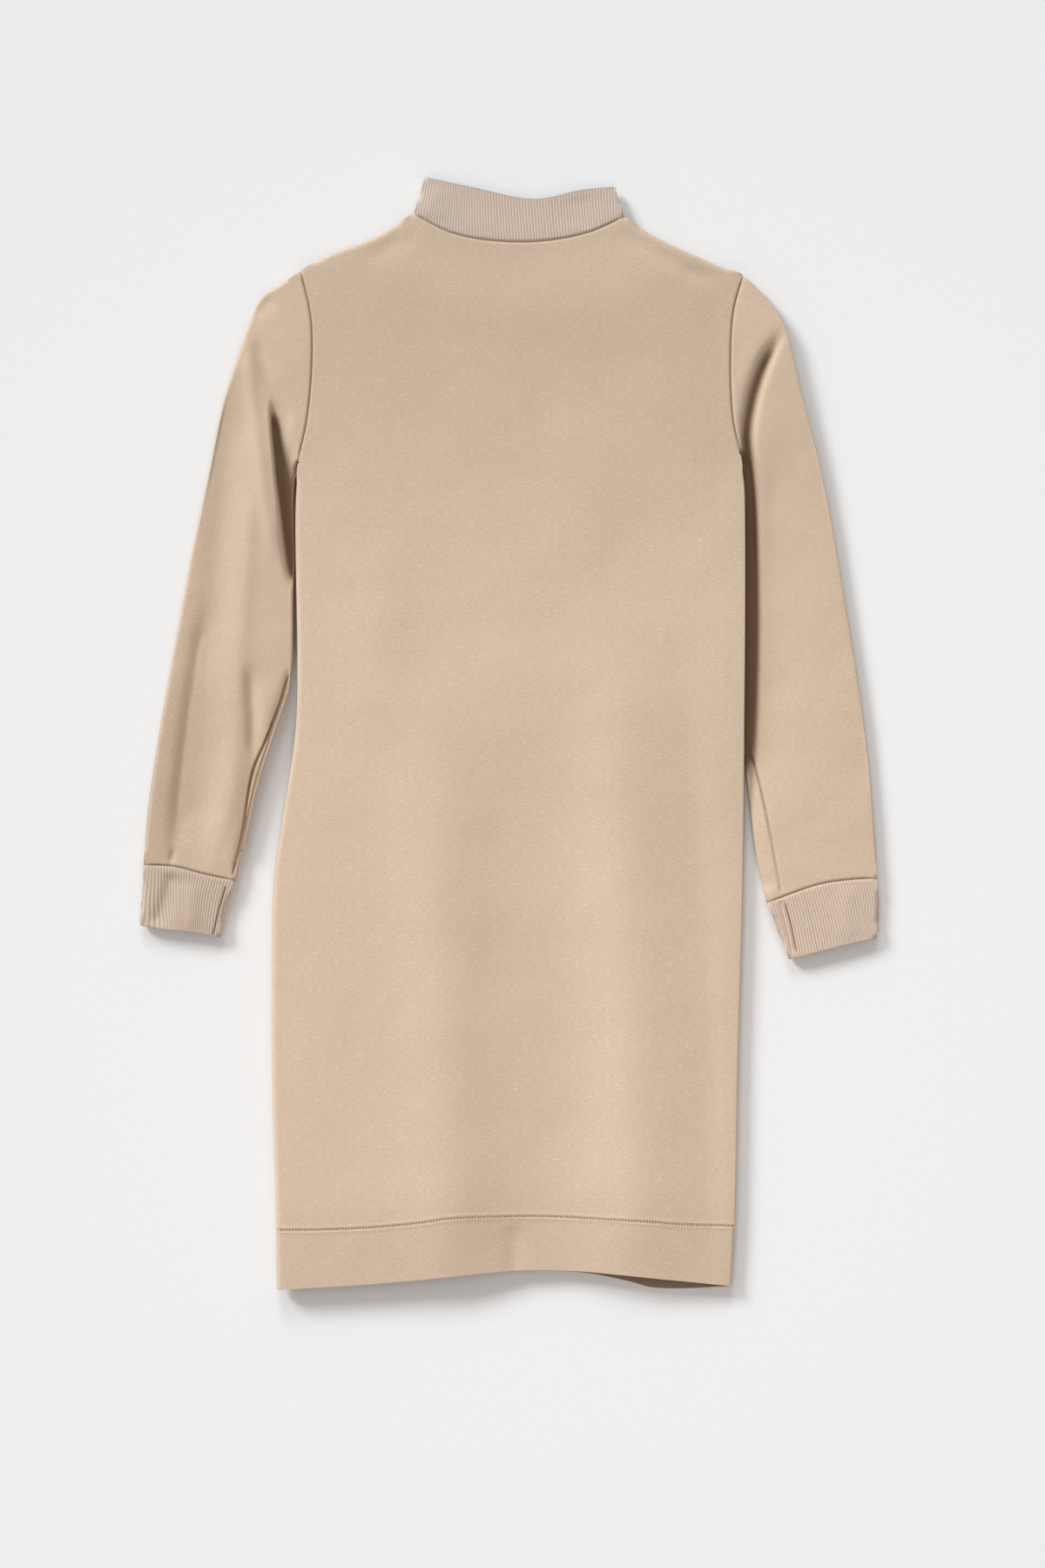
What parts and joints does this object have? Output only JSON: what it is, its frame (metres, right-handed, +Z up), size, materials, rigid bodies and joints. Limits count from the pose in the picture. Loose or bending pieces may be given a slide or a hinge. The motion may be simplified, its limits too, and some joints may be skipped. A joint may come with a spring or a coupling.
{
  "type": "mock-neck tunic top",
  "caption": "Long-sleeved knitted tunic with a ribbed mock neck, ribbed cuffs and a wide turned-up hem, laid flat with its back up.",
  "frame": {"origin": "middle of the garment's laid-out outline, on the surface it lies on", "axes": "+Y towards the neck, -Y towards the hem, +Z up off the surface (the garment's back is up and its front is down), +X towards the wearer's right sleeve"},
  "size_m": [0.6518, 0.9801, 0.021],
  "materials": {
    "sweatshirt_knit": "matte mid-weight sweatshirt knit with a faint fleck, sand",
    "rib_knit": "matte rib knit, sand, a little darker than the body"
  },
  "bodies": {
    "root": {"back_panel": "sweatshirt_knit", "front_panel": "sweatshirt_knit", "left_sleeve": "sweatshirt_knit", "right_sleeve": "sweatshirt_knit", "left_cuff": "rib_knit", "right_cuff": "rib_knit", "collar": "rib_knit"}
  },
  "joints": []
}
